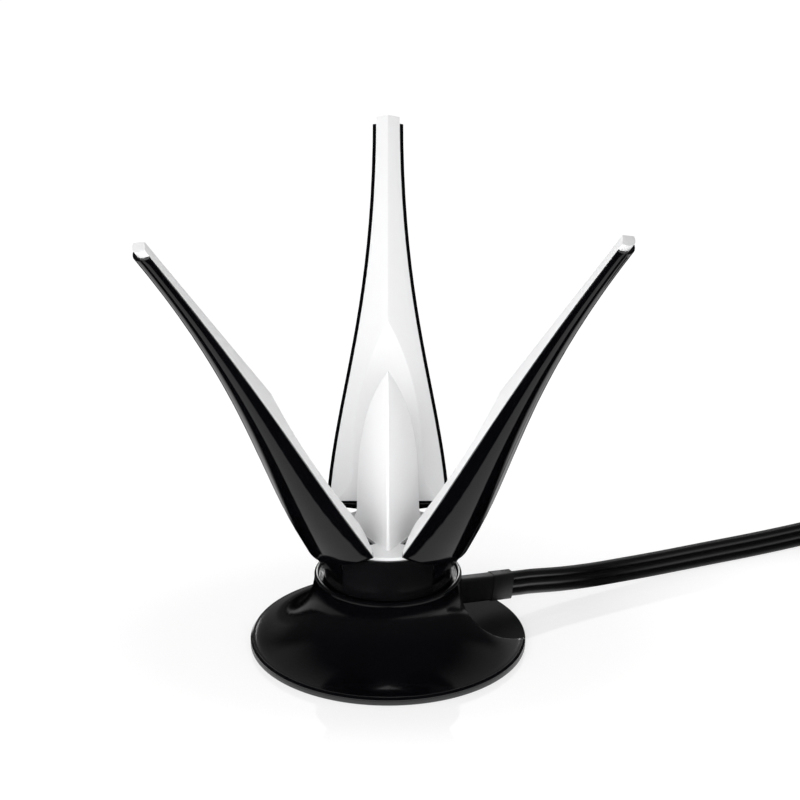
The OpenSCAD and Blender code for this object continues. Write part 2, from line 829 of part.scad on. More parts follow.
// Arched recess that closes round the spire and draws back at the blade's foot
module spire_recess() {
    point = spire_top + recess_rise;
    half = spire_ridge + recess_room;
    footed = [
        for (i = [0 : foot_steps - 1])
            let (z = blade_foot + (cap_top + recess_foot - blade_foot) * i / foot_steps)
            [
                arch(z, blade_foot, point, half, recess_fullness) / 2 + spread(z, recess_spread, recess_foot),
                z
            ]
    ];
    arched = [
        for (z = arch_heights(blade_foot, point))
            if (z > cap_top + recess_foot) [arch(z, blade_foot, point, half, recess_fullness) / 2, z]
    ];
    translate([0, far / 2, 0])
        rotate([90, 0, 0])
            linear_extrude(far)
                polygon(concat(
                    [[half / 2, blade_foot - far], [half / 2, blade_foot]], footed, arched,
                    [[-far, point], [-far, blade_foot - far]]
                ));
}

// Arm and knuckle under a blade, drawn across its width
module knuckle_arm() {
    inner = hinge_radius - knuckle_radius;
    translate([0, knuckle_width / 2, 0])
        rotate([90, 0, 0])
            linear_extrude(knuckle_width)
                polygon([
                    [inner, hinge_height],
                    [inner, blade_foot + arm_rise],
                    [foot_radius - arm_inset, blade_foot + arm_rise],
                    [hinge_radius + knuckle_radius, hinge_height]
                ]);
    on_hinge(knuckle_radius, -knuckle_width / 2, knuckle_width / 2);
}

module blade_shell(azimuth, tilt) {
    skin_top = blade_top - core_proud;
    outer = outline_below(skin_top, 0);
    inner = outline_below(skin_top, shell_wall);
    color(gloss_black)
        posed(azimuth, tilt)
            difference() {
                union() {
                    intersection() {
                        rotate_extrude()
                            polygon(concat(
                                [for (p = outer) if (p[1] > blade_foot + foot_round) p],
                                [[foot_radius, blade_foot + foot_round]],
                                [[foot_radius - foot_round / 3, blade_foot + foot_round / 3]],
                                [[foot_radius - foot_round, blade_foot]],
                                [for (i = [len(inner) - 1 : -1 : 0]) inner[i]]
                            ));
                        third_of_bud();
                    }
                    knuckle_arm();
                }
                spire_recess();
                on_hinge(pin_radius + pin_room, -knuckle_width, knuckle_width);
            }
}

// Frame of an antenna board, with its lower end's middle at the origin
module on_board() {
    translate([board_seat, 0, blade_foot + board_start])
        rotate([0, -board_lean, 0])
            children();
}

module blade_core(azimuth, tilt) {
    inner = outline_below(blade_top, shell_wall);
    color(soft_white)
        posed(azimuth, tilt)
            difference() {
                intersection() {
                    rotate_extrude()
                        polygon(concat([[0, blade_top]], inner, [[0, blade_foot]]));
                    third_of_bud();
                }
                spire_recess();
                translate([0, -knuckle_width / 2, blade_foot - past])
                    cube([far, knuckle_width, arm_rise + past]);
                on_board()
                    translate([0, -board_width / 2, 0])
                        cube([far, board_width, board_length]);
            }
}

module antenna_board(azimuth, tilt) {
    color(board_green)
        posed(azimuth, tilt)
            on_board()
                translate([0, -board_width / 2, 0])
                    cube([board_thickness, board_width, board_length]);
}

// Frame of the boot: X along its slope, with the middle of its outer end at the origin
module at_boot() {
    rotate(bay_azimuth)
        translate([boot_end, 0, boot_height])
            rotate([0, boot_slope, 0])
                children();
}

// Strain relief: a flange inside the neck, a stem through it and a block at the end
module cable_boot() {
    color(rubber_black) {
        intersection() {
            at_boot()
                rounded_bar(along_boot(boot_start - boot_flange), along_boot(neck_inner + boot_flange),
                    stem_width + 2 * flange_reach, stem_rise, boot_round);
            ring_solid(boot_start, neck_inner, plate_top, deck_bottom);
        }
        at_boot() {
            rounded_bar(along_boot(neck_inner - boot_flange / 2), -boot_block / 2,
                stem_width, stem_rise, boot_round);
            rounded_bar(-boot_block, 0, boot_width, boot_rise, boot_round);
        }
    }
}

// One cable inside the base: from the boot across to its hole in the hub and up into it
module inner_lead(azimuth, level) {
    r = coax_diameter / 2;
    start = boot_start * [cos(bay_azimuth), sin(bay_azimuth)];
    run = lead_circle * [cos(azimuth), sin(azimuth)] - start;
    translate([start[0], start[1], level])
        rotate(atan2(run[1], run[0])) {
            turned(0, norm(run) - lead_bend, r, r);
            translate([norm(run) - lead_bend, 0, lead_bend])
                rotate([90, 0, 0])
                    rotate(-90)
                        rotate_extrude(angle = 90) translate([lead_bend, 0]) circle(r = r);
            translate([norm(run), 0, lead_bend])
                cylinder(r = r, h = slot_floor - level - lead_bend);
        }
}

module inner_leads() {
    color(rubber_black) {
        inner_lead(back_azimuth, boot_level(boot_start) + coax_diameter);
        inner_lead(right_azimuth, boot_level(boot_start));
        inner_lead(left_azimuth, boot_level(boot_start) - coax_diameter);
    }
}

module ribbon_cable() {
    color(rubber_black) swept(ribbon_path, ribbon_section());
}

module cable_coil() {
    color(rubber_black) swept(coil_path, ribbon_section());
}

// Two flat ties round all the turns of the coil
module coil_ties() {
    wide = coax_diameter / 2 + tie_room;
    tall = ribbon_height / 2 + tie_room;
    color(satin_black)
        for (place = tie_places) {
            turn = place / coil_rings;
            flat = cos(180 / coil_rings);
            outer = (coil_radius - coil_pitch * turn) * flat + wide;
            inner = (coil_radius - coil_pitch * (turn + coil_turns - 1)) * flat - wide;
            translate([coil_centre[0], coil_centre[1], coil_lift])
                rotate(coil_start_angle - 360 * turn)
                    difference() {
                        translate([inner - tie_thickness, -tie_width / 2, -tall - tie_thickness])
                            cube([
                                outer - inner + 2 * tie_thickness,
                                tie_width,
                                2 * (tall + tie_thickness)
                            ]);
                        translate([inner, -tie_width, -tall])
                            cube([outer - inner, 2 * tie_width, 2 * tall]);
                    }
        }
}

module coax_tail(i) {
    color(rubber_black) swept(tail_path(i), circle_section(coax_diameter / 2, 8));
}

// Connector i drawn along +X from the end of its cable
module at_connector(i) {
    translate(tail_end(i))
        rotate(atan2(coil_lead_out[1], coil_lead_out[0]))
            children();
}

// Round bar along X from one place to another
module turned(start, end, r1, r2) {
    translate([start, 0, 0])
        rotate([0, 90, 0])
            cylinder(r1 = r1, r2 = r2, h = end - start);
}

module cable_sleeve(i) {
    taper = sleeve_length / 4;
    color(rubber_black)
        at_connector(i) {
            turned(0, taper, coax_diameter / 2 + sleeve_lip, sleeve_radius);
            turned(taper, sleeve_length, sleeve_radius, sleeve_radius);
        }
}

module connector_body(i) {
    ferrule_end = sleeve_length + ferrule_length;
    color(gold)
        at_connector(i)
            difference() {
                union() {
                    turned(sleeve_length, ferrule_end, ferrule_radius, ferrule_radius);
                    turned(ferrule_end, ferrule_end + shoulder, shoulder_radius, shoulder_radius);
                    turned(ferrule_end, flange_end, nut_neck_radius, nut_neck_radius);
                    turned(flange_start, flange_end, flange_radius, flange_radius);
                }
                turned(flange_end - insert_length, flange_end + past, insert_radius, insert_radius);
            }
}

module contact_insert(i) {
    color(ptfe_white)
        at_connector(i)
            difference() {
                turned(flange_end - insert_length, flange_end, insert_radius, insert_radius);
                turned(flange_end - insert_length / 2, flange_end + past, contact_radius, contact_radius);
            }
}

module coupling_nut(i) {
    color(gold)
        at_connector(i)
            difference() {
                translate([nut_start, 0, 0])
                    rotate([0, 90, 0])
                        cylinder(r = nut_flats / 2 / cos(30), h = nut_length, $fn = 6);
                turned(nut_start - past, nut_mouth, nut_neck_radius + nut_room, nut_neck_radius + nut_room);
                turned(nut_start + nut_wall, nut_mouth - thread_length, nut_relief, nut_relief);
                turned(nut_mouth - thread_length - past, nut_mouth + past, thread_radius, thread_radius);
            }
}

base_cover();
base_plate();
foot_pad();
plate_screws();
ballast_weight();
hub_drum();
hub_screws();
spire_cap();
cap_screw();
hinge_pin(back_azimuth);  // hinge_pin_back
hinge_pin(left_azimuth);  // hinge_pin_left
hinge_pin(right_azimuth);  // hinge_pin_right
friction_washers(back_azimuth);  // friction_washers_back
friction_washers(left_azimuth);  // friction_washers_left
friction_washers(right_azimuth);  // friction_washers_right
blade_shell(back_azimuth, back_tilt);  // blade_shell_back
blade_shell(left_azimuth, left_tilt);  // blade_shell_left
blade_shell(right_azimuth, right_tilt);  // blade_shell_right
blade_core(back_azimuth, back_tilt);  // blade_core_back
blade_core(left_azimuth, left_tilt);  // blade_core_left
blade_core(right_azimuth, right_tilt);  // blade_core_right
antenna_board(back_azimuth, back_tilt);  // antenna_board_back
antenna_board(left_azimuth, left_tilt);  // antenna_board_left
antenna_board(right_azimuth, right_tilt);  // antenna_board_right
cable_boot();
inner_leads();
ribbon_cable();
cable_coil();
coil_ties();
coax_tail(0);  // coax_tail_1
coax_tail(1);  // coax_tail_2
coax_tail(2);  // coax_tail_3
cable_sleeve(0);  // cable_sleeve_1
cable_sleeve(1);  // cable_sleeve_2
cable_sleeve(2);  // cable_sleeve_3
connector_body(0);  // connector_body_1
connector_body(1);  // connector_body_2
connector_body(2);  // connector_body_3
contact_insert(0);  // contact_insert_1
contact_insert(1);  // contact_insert_2
contact_insert(2);  // contact_insert_3
coupling_nut(0);  // coupling_nut_1
coupling_nut(1);  // coupling_nut_2
coupling_nut(2);  // coupling_nut_3
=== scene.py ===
import math

import bpy
from bpy.props import FloatProperty, FloatVectorProperty, PointerProperty
from mathutils import Matrix, Vector


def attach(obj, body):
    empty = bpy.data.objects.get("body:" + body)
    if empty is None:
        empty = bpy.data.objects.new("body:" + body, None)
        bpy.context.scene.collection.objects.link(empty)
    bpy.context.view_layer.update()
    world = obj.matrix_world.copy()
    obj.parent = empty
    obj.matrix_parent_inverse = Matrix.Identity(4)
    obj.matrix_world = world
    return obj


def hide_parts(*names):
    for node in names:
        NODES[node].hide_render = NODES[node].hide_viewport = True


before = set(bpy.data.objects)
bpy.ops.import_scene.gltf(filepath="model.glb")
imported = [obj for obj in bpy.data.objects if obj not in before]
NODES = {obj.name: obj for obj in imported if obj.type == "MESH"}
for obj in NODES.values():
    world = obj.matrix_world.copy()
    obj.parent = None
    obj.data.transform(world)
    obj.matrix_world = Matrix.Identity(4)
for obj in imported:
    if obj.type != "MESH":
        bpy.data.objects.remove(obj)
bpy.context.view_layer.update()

bl_info = {
    "name": "Three-blade tabletop antenna",
    "version": (1, 0, 0),
    "blender": (4, 5, 0),
    "location": "View3D > Sidebar > Antenna",
    "description": "Finishes, cable and studio for a tabletop antenna with three hinged blades",
    "category": "Object",
}

SIDES = ("back", "left", "right")
MM = 0.001
WELD_REACH = 2e-6
# Angles in degrees: faces taken for one flat, edges kept crisp, edges kept crisp on a swept tube
FLAT_ANGLE, CRISP_ANGLE, TUBE_ANGLE = 0.3, 35, 50


# Settings


class AntennaFinish(bpy.types.PropertyGroup):
    """Colours and surfaces of the antenna's plastics and metals."""

    gloss_black: FloatVectorProperty(
        name="Gloss black", description="Colour of the base cover and the blade shells",
        subtype="COLOR", size=3, min=0, max=1, default=(0.0016, 0.0016, 0.0022))
    satin_black: FloatVectorProperty(
        name="Satin black", description="Colour of the hub and the base plate",
        subtype="COLOR", size=3, min=0, max=1, default=(0.0035, 0.0035, 0.004))
    soft_white: FloatVectorProperty(
        name="Soft white", description="Colour of the blade cores and the spire",
        subtype="COLOR", size=3, min=0, max=1, default=(0.92, 0.92, 0.925))
    rubber_black: FloatVectorProperty(
        name="Rubber black", description="Colour of the boot, the foot pad and the cable jackets",
        subtype="COLOR", size=3, min=0, max=1, default=(0.011, 0.011, 0.012))
    gold: FloatVectorProperty(
        name="Gold", description="Colour of the plated connectors",
        subtype="COLOR", size=3, min=0, max=1, default=(0.83, 0.56, 0.21))
    gloss_roughness: FloatProperty(
        name="Gloss roughness", description="Roughness of the polished black plastic",
        subtype="FACTOR", min=0, max=1, default=0.055)


class AntennaCable(bpy.types.PropertyGroup):
    """Sizes of the ribbon of three cables and of its coil."""

    coax: FloatProperty(
        name="Cable diameter", description="Thickness of one cable of the ribbon",
        subtype="DISTANCE", unit="LENGTH", min=0.001, max=0.01, default=2.8 * MM)
    web: FloatProperty(
        name="Web", description="Thickness of the web that joins two cables",
        subtype="DISTANCE", unit="LENGTH", min=0.0002, max=0.002, default=0.9 * MM)
    coil_radius: FloatProperty(
        name="Coil radius", description="Radius of the coil's outer turn",
        subtype="DISTANCE", unit="LENGTH", min=0.02, max=0.1, default=47 * MM)
    coil_pitch: FloatProperty(
        name="Coil pitch", description="Step from one turn of the coil to the next",
        subtype="DISTANCE", unit="LENGTH", min=0.001, max=0.01, default=3.3 * MM)


class AntennaStudio(bpy.types.PropertyGroup):
    """Camera, lamps and floor of the studio."""

    camera_back: FloatProperty(
        name="Camera distance", description="How far the camera stands in front of the base",
        subtype="DISTANCE", unit="LENGTH", min=0.1, max=5, default=0.825)
    camera_height: FloatProperty(
        name="Camera height", description="Height of the camera above the table",
        subtype="DISTANCE", unit="LENGTH", min=0, max=5, default=0.4243)
    camera_pitch: FloatProperty(
        name="Camera pitch", description="How far the camera looks down",
        subtype="ANGLE", unit="ROTATION", min=0, max=1.5, default=math.radians(22.6))
    camera_lens: FloatProperty(
        name="Lens", description="Focal length on a 36 mm sensor, in millimetres",
        min=10, max=500, default=134.325)
    camera_shift: FloatProperty(
        name="Shift", description="Sideways shift of the picture's middle",
        min=-0.2, max=0.2, default=0.015)
    key_power: FloatProperty(
        name="Key lamp", description="Power of the soft lamp on the left, in watts",
        min=0, max=100, default=1.95)
    fill_power: FloatProperty(
        name="Fill lamp", description="Power of the soft lamp in front, in watts",
        min=0, max=100, default=0.3)
    back_power: FloatProperty(
        name="Back lamp", description="Power of the soft lamp on the white pieces' back, in watts",
        min=0, max=100, default=3.0)
    rim_power: FloatProperty(
        name="Rim lamp", description="Power of the strip lamp behind the antenna, in watts",
        min=0, max=100, default=1.2)
    cable_power: FloatProperty(
        name="Cable lamp", description="Power of the lamp over the cable and its boot, in watts",
        min=0, max=100, default=5.0)
    room_light: FloatProperty(
        name="Room light", description="Brightness of the white room round the antenna",
        min=0, max=2, default=0.97)
    floor_white: FloatProperty(
        name="Floor white", description="How white the camera sees the floor",
        min=0, max=1, default=0.7)
    sheet_white: FloatProperty(
        name="Sheet white",
        description="How white the sheet under the base is in the blades' reflections",
        min=0, max=1, default=0.65)
    floor_mirror: FloatProperty(
        name="Floor mirror", description="Share of the floor that is a polished reflection",
        subtype="FACTOR", min=0, max=1, default=0.25)


# Materials


class Graph:
    """A node tree under construction, with short ways to add and join its nodes."""

    def __init__(self, tree):
        self.tree = tree

    def add(self, kind, **sockets):
        node = self.tree.nodes.new(kind)
        for socket, value in sockets.items():
            node.inputs[socket.replace("_", " ")].default_value = value
        return node

    def join(self, start, end):
        self.tree.links.new(start, end)

    def spread(self, value, low, high, start=0.0, end=1.0):
        """A value between start and end, carried over to low and high."""
        node = self.add("ShaderNodeMapRange", From_Min=start, From_Max=end, To_Min=low, To_Max=high)
        self.join(value, node.inputs["Value"])
        return node.outputs["Result"]

    def step(self, value, start, end, low=0.0, high=1.0):
        """A smooth step of a value from low to high."""
        result = self.spread(value, low, high, start, end)
        result.node.interpolation_type = "SMOOTHSTEP"
        return result

    def calculate(self, operation, *values):
        """Values, each a number or a socket, joined by an operation."""
        node = self.add("ShaderNodeMath")
        node.operation = operation
        for value, socket in zip(values, node.inputs):
            if isinstance(value, (int, float)):
                socket.default_value = value
            else:
                self.join(value, socket)
        return node.outputs["Value"]

    def product(self, first, *others):
        for other in others:
            first = self.calculate("MULTIPLY", first, other)
        return first

    def total(self, first, *others):
        for other in others:
            first = self.calculate("ADD", first, other)
        return first

    def mix(self, share, first, second):
        """Two shaders, of which the second has the share."""
        node = self.add("ShaderNodeMixShader")
        for value, socket in zip((share, first, second), node.inputs):
            self.join(value, socket)
        return node.outputs["Shader"]


class Finish(Graph):
    """A material under construction."""

    def __init__(self, name, **sockets):
        self.material = bpy.data.materials.new(name)
        self.material.use_nodes = True
        super().__init__(self.material.node_tree)
        self.shader = self.tree.nodes["Principled BSDF"]
        for socket, value in sockets.items():
            self.shader.inputs[socket.replace("_", " ")].default_value = value
        self.place = self.add("ShaderNodeTexCoord").outputs["Object"]

    def noise(self, scale, detail=2.0, rough=0.5, stretch=None):
        node = self.add("ShaderNodeTexNoise", Scale=scale, Detail=detail, Roughness=rough)
        if stretch is None:
            self.join(self.place, node.inputs["Vector"])
        else:
            mapping = self.add("ShaderNodeMapping", Scale=stretch)
            self.join(self.place, mapping.inputs["Vector"])
            self.join(mapping.outputs["Vector"], node.inputs["Vector"])
        return node.outputs["Fac"]

    def colours(self, value, *stops):
        """The base colour, from a value and pairs of a position and a colour."""
        node = self.add("ShaderNodeValToRGB")
        ramp = node.color_ramp
        while len(ramp.elements) < len(stops):
            ramp.elements.new(1.0)
        for element, (position, colour) in zip(ramp.elements, stops):
            element.position = position
            element.color = (*colour[:3], 1.0)
        self.join(value, node.inputs["Fac"])
        self.join(node.outputs["Color"], self.shader.inputs["Base Color"])

    def roughness(self, value, low, high, start=0.3, end=0.7):
        self.join(self.spread(value, low, high, start, end), self.shader.inputs["Roughness"])

    def bump(self, *layers):
        """Bumps one over another, each with its height, strength and depth in metres."""
        below = None
        for height, strength, depth in layers:
            node = self.add("ShaderNodeBump", Strength=strength, Distance=depth)
            self.join(height, node.inputs["Height"])
            if below is not None:
                self.join(below, node.inputs["Normal"])
            below = node.outputs["Normal"]
        self.join(below, self.shader.inputs["Normal"])


def shade(colour, factor):
    return tuple(min(1.0, channel * factor) for channel in colour[:3])


def polished_black(settings, name="polished_black", softer=0.0):
    """High-gloss moulded plastic: deep black, a hint of orange peel and a little dust."""
    f = Finish(name, IOR=1.5)
    cloud = f.noise(35, 3)
    dust = f.noise(2600, 1)
    f.colours(cloud, (0.3, shade(settings.gloss_black, 0.85)),
              (0.7, shade(settings.gloss_black, 1.2)))
    low = settings.gloss_roughness + softer
    f.roughness(dust, low, low + 0.05, 0.55, 0.8)
    f.bump((f.noise(420, 2), 0.02, 0.0002), (dust, 0.012, 0.00005))
    return f.material


def satin_black(settings, name="satin_black", low=0.3, high=0.42):
    """Spark-eroded black plastic with a fine even grain."""
    f = Finish(name, IOR=1.5)
    grain = f.noise(5200, 2)
    f.colours(f.noise(60, 3), (0.3, shade(settings.satin_black, 0.85)),
              (0.7, shade(settings.satin_black, 1.25)))
    f.roughness(grain, low, high)
    f.bump((grain, 0.12, 0.00006), (f.noise(240, 2), 0.02, 0.0002))
    return f.material


def moulded_white(settings):
    """Matt white plastic with a fine grain and soft light under its skin."""
    f = Finish("moulded_white", IOR=1.46, Subsurface_Weight=0.08, Subsurface_Scale=0.0012)
    f.shader.inputs["Subsurface Radius"].default_value = (1.0, 0.95, 0.9)
    grain = f.noise(4200, 2)
    f.colours(f.noise(28, 3), (0.3, shade(settings.soft_white, 0.985)),
              (0.7, shade(settings.soft_white, 1.01)))
    f.roughness(grain, 0.36, 0.5)
    f.bump((grain, 0.06, 0.00005), (f.noise(160, 2), 0.015, 0.0002))
    return f.material


def grained_rubber(settings, name="grained_rubber", tone=1.0, gloss=(0.55, 0.72)):
    """Matt rubber with a close grain, greyer where it is rubbed."""
    f = Finish(name, IOR=1.48)
    grain = f.noise(3600, 3, 0.6)
    f.colours(f.noise(90, 4), (0.3, shade(settings.rubber_black, 0.9 * tone)),
              (0.72, shade(settings.rubber_black, 1.6 * tone)))
    f.roughness(grain, *gloss)
    f.bump((grain, 0.2, 0.0001))
    return f.material


def drawn_jacket(settings):
    """Extruded cable jacket: semi-gloss, with faint lines along its length."""
    f = Finish("drawn_jacket", IOR=1.5)
    along = f.add("ShaderNodeUVMap")
    along.uv_map = "along"
    f.place = along.outputs["UV"]
    lines = f.noise(1, 3, 0.6, (14.0, 900.0, 1.0))
    wear = f.noise(1, 2, 0.5, (60.0, 120.0, 1.0))
    f.colours(wear, (0.3, shade(settings.rubber_black, 0.2)),
              (0.7, shade(settings.rubber_black, 0.35)))
    f.roughness(lines, 0.38, 0.48)
    f.bump((lines, 0.06, 0.00008), (wear, 0.03, 0.0001))
    return f.material


def turned_metal(name, colour, low, high, scale=900.0):
    """Turned or plated metal with fine tool marks and uneven polish."""
    f = Finish(name, Metallic=1.0)
    marks = f.noise(scale, 4, 0.6)
    f.colours(f.noise(180, 3), (0.3, shade(colour, 0.86)), (0.7, shade(colour, 1.08)))
    f.roughness(marks, low, high)
    f.bump((marks, 0.08, 0.00004))
    return f.material


def cast_zinc():
    """Grey casting with a coarse, slightly pitted skin."""
    f = Finish("cast_zinc", Metallic=0.85)
    skin = f.noise(700, 5, 0.65)
    f.colours(f.noise(120, 4), (0.3, (0.2, 0.2, 0.21)), (0.7, (0.33, 0.33, 0.34)))
    f.roughness(skin, 0.45, 0.65)
    f.bump((skin, 0.25, 0.00015))
    return f.material


def turned_ptfe():
    """Waxy white insulator."""
    f = Finish("turned_ptfe", IOR=1.38, Subsurface_Weight=0.2, Subsurface_Scale=0.001)
    skin = f.noise(1500, 3)
    f.colours(skin, (0.3, (0.8, 0.8, 0.77)), (0.7, (0.88, 0.88, 0.86)))
    f.roughness(skin, 0.4, 0.55)
    f.bump((skin, 0.05, 0.00005))
    return f.material


def printed_board():
    """Green solder mask over a glass weave, with copper tracks under it."""
    f = Finish("printed_board", IOR=1.52)
    tracks = f.add("ShaderNodeTexBrick", Scale=110.0, Mortar_Size=0.04)
    tracks.inputs["Color1"].default_value = (0.012, 0.09, 0.035, 1)
    tracks.inputs["Color2"].default_value = (0.014, 0.11, 0.04, 1)
    tracks.inputs["Mortar"].default_value = (0.05, 0.19, 0.05, 1)
    f.join(f.place, tracks.inputs["Vector"])
    f.join(tracks.outputs["Color"], f.shader.inputs["Base Color"])
    weave = f.noise(2400, 2)
    f.roughness(weave, 0.28, 0.4)
    f.bump((weave, 0.08, 0.00004), (tracks.outputs["Fac"], 0.3, 0.00003))
    return f.material


# Meshes


def piece(name, points, faces, material, body):
    """A smooth mesh piece that rides on a body."""
    mesh = bpy.data.meshes.new(name)
    mesh.from_pydata([tuple(p) for p in points], [], faces)
    mesh.validate()
    mesh.update()
    mesh.shade_smooth()
    mesh.materials.append(material)
    made = bpy.data.objects.new(name, mesh)
    bpy.context.scene.collection.objects.link(made)
    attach(made, body)
    return made


def split_edges(made, angle):
    """Keeps edges crisp in smooth shading where they turn more than the angle, in degrees."""
    made.modifiers.new("edges", "EDGE_SPLIT").split_angle = math.radians(angle)


def ease_edges(made, width, segments):
    ease = made.modifiers.new("ease", "BEVEL")
    ease.width = width
    ease.segments = segments
    return ease


def cover(node, material):
    """Gives a node its material and smooth shading, with the points that its faces share welded."""
    made = NODES[node]
    made.data.materials.clear()
    made.data.materials.append(material)
    made.data.polygons.foreach_set("use_smooth", [True] * len(made.data.polygons))
    made.modifiers.new("weld", "WELD").merge_threshold = WELD_REACH
    return made


def dress(node, material, bevel=0.0, angle=32.0, segments=3):
    """Covers a node and eases its edges where they turn more than the angle, in degrees."""
    made = cover(node, material)
    if bevel:
        ease = ease_edges(made, bevel, segments)
        ease.limit_method = "ANGLE"
        ease.angle_limit = math.radians(angle)
        ease.use_clamp_overlap = True
    split_edges(made, angle)
    return made


def ease_weights(made, angle, fade):
    """Weighs each sharp edge for the bevel, falling to nothing between two heights."""
    tree = bpy.data.node_groups.new(f"{made.name}_ease", "GeometryNodeTree")
    for way in ("INPUT", "OUTPUT"):
        tree.interface.new_socket("Mesh", in_out=way, socket_type="NodeSocketGeometry")
    g = Graph(tree)
    place = g.add("ShaderNodeSeparateXYZ")
    g.join(g.add("GeometryNodeInputPosition").outputs["Position"], place.inputs["Vector"])
    bend = g.add("GeometryNodeInputMeshEdgeAngle").outputs["Unsigned Angle"]
    sharp = g.calculate("GREATER_THAN", bend, math.radians(angle))
    fall = g.spread(place.outputs["Z"], 1.0, 0.0, *fade)
    store = g.add("GeometryNodeStoreNamedAttribute", Name="bevel_weight_edge")
    store.data_type, store.domain = "FLOAT", "EDGE"
    g.join(g.add("NodeGroupInput").outputs["Mesh"], store.inputs["Geometry"])
    g.join(g.product(fall, sharp), store.inputs["Value"])
    g.join(store.outputs["Geometry"], g.add("NodeGroupOutput").inputs["Mesh"])
    made.modifiers.new("weights", "NODES").node_group = tree


def dress_fading(node, material, bevel, fade, angle):
    """Covers a node and eases its edges less and less between two heights."""
    made = cover(node, material)
    flat = made.modifiers.new("flat", "DECIMATE")
    flat.decimate_type = "DISSOLVE"
    flat.angle_limit = math.radians(FLAT_ANGLE)
    ease_weights(made, angle, fade)
    ease = ease_edges(made, bevel, 4)
    ease.limit_method = "WEIGHT"
    ease.use_clamp_overlap = False
    split_edges(made, CRISP_ANGLE)


def smooth_path(route, steps):
    """A path through the route's points, with steps points from one to the next."""
    path = []
    last = len(route) - 1
    for i in range(last):
        a, b = route[max(i - 1, 0)], route[i]
        c, d = route[i + 1], route[min(i + 2, last)]
        for k in range(steps):
            t = k / steps
            path.append(b + (c - a) * (t / 2) + (2 * a - 5 * b + 4 * c - d) * (t * t / 2)
                        + (3 * b - a - 3 * c + d) * (t ** 3 / 2))
    return path + [route[last]]


def swept_tube(name, path, section, material, body):
    """A closed tube of a section along a path, with its length as a map for the jacket's lines."""
    count = len(section)
    points, faces, reach = [], [], [0.0]
    for a, b in zip(path, path[1:]):
        reach.append(reach[-1] + (b - a).length)
    for i, middle in enumerate(path):
        way = (path[min(i + 1, len(path) - 1)] - path[max(i - 1, 0)]).normalized()
        across = way.cross(Vector((0, 0, 1))).normalized()
        up = across.cross(way)
        points += [middle + across * p[0] + up * p[1] for p in section]
    for i in range(len(path) - 1):
        for k in range(count):
            n = (k + 1) % count
            faces.append((i * count + k, i * count + n, (i + 1) * count + n, (i + 1) * count + k))
    faces.append(tuple(range(count - 1, -1, -1)))
    faces.append(tuple(range((len(path) - 1) * count, len(path) * count)))
    made = piece(name, points, faces, material, body)
    layer = made.data.uv_layers.new(name="along")
    for polygon in made.data.polygons:
        for loop in polygon.loop_indices:
            vertex = made.data.loops[loop].vertex_index
            turn = (vertex % count) / count
            if polygon.index < count * (len(path) - 1):
                first = polygon.index % count
                turn = (first + (1 if (vertex % count) != first else 0)) / count
            layer.data[loop].uv = (reach[vertex // count], turn)
    split_edges(made, TUBE_ANGLE)
    for lit in ("cable_lit", "rim_lit"):
        bpy.data.collections[lit].objects.link(made)
    return made


# Cable


LOBE_STEPS, TAIL_SIDES = 8, 20
RIBBON_STEPS, TAIL_STEPS = 6, 5
COIL_CENTRE = Vector((194, 43, 5.1)) * MM
COIL_START, COIL_TURNS, COIL_RINGS = math.radians(114), 3, 48
# The coil's last quarter turn hooks inwards, and both its ends run straight
HOOK_TURN, HOOK_IN, END_RUN, OUT_STEP = 0.25, 8 * MM, 9 * MM, 1 / 24
# Middle of the ribbon between the boot and the coil, in millimetres
RIBBON_ROUTE = (
    (55, 30.5, 6.55), (65, 35, 5.75), (75, 39.8, 5.25), (85, 44.6, 4.85), (95, 49.4, 4.6),
    (106, 54.6, 4.4), (118, 60, 4.3), (130, 65.4, 4.4), (142, 70.9, 4.7),
)
# Along the tail and across it in millimetres, each tail's share of the climb, share of the descent
TAIL_ROUTE = (
    (6, 0.4, (0.05, 0.1, 0.3), 0), (11, 1.2, (0.25, 0.4, 0.75), 0), (16, 2.7, (0.6, 0.75, 1), 0),
    (22, 4.2, (0.95, 1, 1), 0), (29, 5.2, (1, 1, 1), 0), (36, 6.4, (1, 1, 1), 0),
    (44, 8.6, (1, 1, 1), 0.45), (51, 10.2, (1, 1, 1), 0.9),
)
TAIL_REACH, TAIL_PITCH = 58 * MM, 10.5 * MM
# Heights of a tail's middle where it crosses the coil and in its connector
TAIL_CROSS, TAIL_REST = 11.0 * MM, 4.6988 * MM
BOOT_TURN, BOOT_SLOPE, BOOT_REACH = math.radians(30), math.radians(7.5), 44.2
BOOT_END = Vector((BOOT_REACH * math.cos(BOOT_TURN), BOOT_REACH * math.sin(BOOT_TURN), 8.9)) * MM
BOOT_WAY = Vector((math.cos(BOOT_TURN) * math.cos(BOOT_SLOPE),
                   math.sin(BOOT_TURN) * math.cos(BOOT_SLOPE), -math.sin(BOOT_SLOPE)))


def ribbon_section(radius, web):
    """Outline of three bonded cables, one above another, as distance across and height."""
    join = math.acos(web / 2 / radius)
    side = []
    for lobe in (-1, 0, 1):
        low = -math.pi / 2 if lobe == -1 else -join
        high = math.pi / 2 if lobe == 1 else join
        for k in range(LOBE_STEPS + 1):
            a = low + (high - low) * k / LOBE_STEPS
            side.append((radius * math.cos(a), 2 * radius * lobe + radius * math.sin(a)))
    return side + [(-x, y) for x, y in reversed(side[1:-1])]


def round_section(radius, sides):
    turns = [2 * math.pi * k / sides for k in range(sides)]
    return [(radius * math.cos(a), radius * math.sin(a)) for a in turns]


